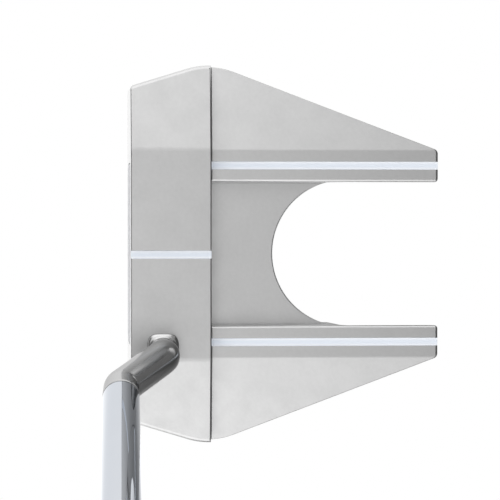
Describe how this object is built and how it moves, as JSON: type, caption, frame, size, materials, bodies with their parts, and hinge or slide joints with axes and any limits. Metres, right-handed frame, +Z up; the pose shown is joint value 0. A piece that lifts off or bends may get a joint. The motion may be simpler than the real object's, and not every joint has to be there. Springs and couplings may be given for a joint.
{
  "type": "mallet putter",
  "caption": "Golf putter with a wide two-piece head, ball-width cut-out at the back, white sight lines, bent steel neck, stepped chrome shaft and pistol grip.",
  "frame": {"origin": "middle of the face block's flat sole, on the ground", "axes": "+Z up, -Y towards the target (out of the striking face), +X towards the golfer (heel side), -X towards the toe"},
  "size_m": [0.363, 0.1088, 0.819],
  "materials": {
    "head_metal": "bead-blasted satin, clear anodised",
    "neck_steel": "satin",
    "plate_steel": "brushed",
    "screw_steel": "dark satin",
    "weight_metal": "machined satin",
    "shaft_chrome": "polished",
    "line_paint": "white paint fill",
    "insert_polymer": "moulded, fine face pattern",
    "adhesive": "adhesive film",
    "washer_polymer": "smooth",
    "grip_rubber": "moulded, fine grain"
  },
  "bodies": {
    "club": {"front_body": "head_metal", "rear_frame": "head_metal", "centre_line_fill": "line_paint", "toe_line_fill": "line_paint", "heel_line_fill": "line_paint", "face_insert": "insert_polymer", "insert_tape": "adhesive", "sole_plate": "plate_steel", "sole_plate_screw_1": "screw_steel", "sole_plate_screw_2": "screw_steel", "sole_plate_screw_3": "screw_steel", "sole_plate_screw_4": "screw_steel", "frame_screw_1": "screw_steel", "frame_screw_2": "screw_steel", "frame_screw_3": "screw_steel", "frame_screw_4": "screw_steel", "hosel_screw": "screw_steel", "hosel": "neck_steel", "shaft": "shaft_chrome", "grip_tape": "adhesive", "grip": "grip_rubber", "grip_cap": "grip_rubber"},
    "toe_washer": {"weight_washer_toe": "washer_polymer"},
    "toe_weight": {"weight_toe": "weight_metal"},
    "heel_washer": {"weight_washer_heel": "washer_polymer"},
    "heel_weight": {"weight_heel": "weight_metal"}
  },
  "joints": [
    {"name": "toe_weight_travel", "type": "slide", "parent": "club", "child": "toe_washer", "axis": [0, 0, -1], "range_m": [0, 0.005]},
    {"name": "toe_weight_turn", "type": "hinge", "parent": "toe_washer", "child": "toe_weight", "pos_m": [-0.042, -0.0015, 0.0003], "axis": [0, 0, -1], "range_deg": [0, 1800]},
    {"name": "heel_weight_travel", "type": "slide", "parent": "club", "child": "heel_washer", "axis": [0, 0, -1], "range_m": [0, 0.005]},
    {"name": "heel_weight_turn", "type": "hinge", "parent": "heel_washer", "child": "heel_weight", "pos_m": [0.042, -0.0015, 0.0003], "axis": [0, 0, -1], "range_deg": [0, 1800]}
  ],
  "couplings": [
    {"joint": "toe_weight_travel", "follows": "toe_weight_turn", "m_per_rad": 0.00015915},
    {"joint": "heel_weight_travel", "follows": "heel_weight_turn", "m_per_rad": 0.00015915}
  ]
}
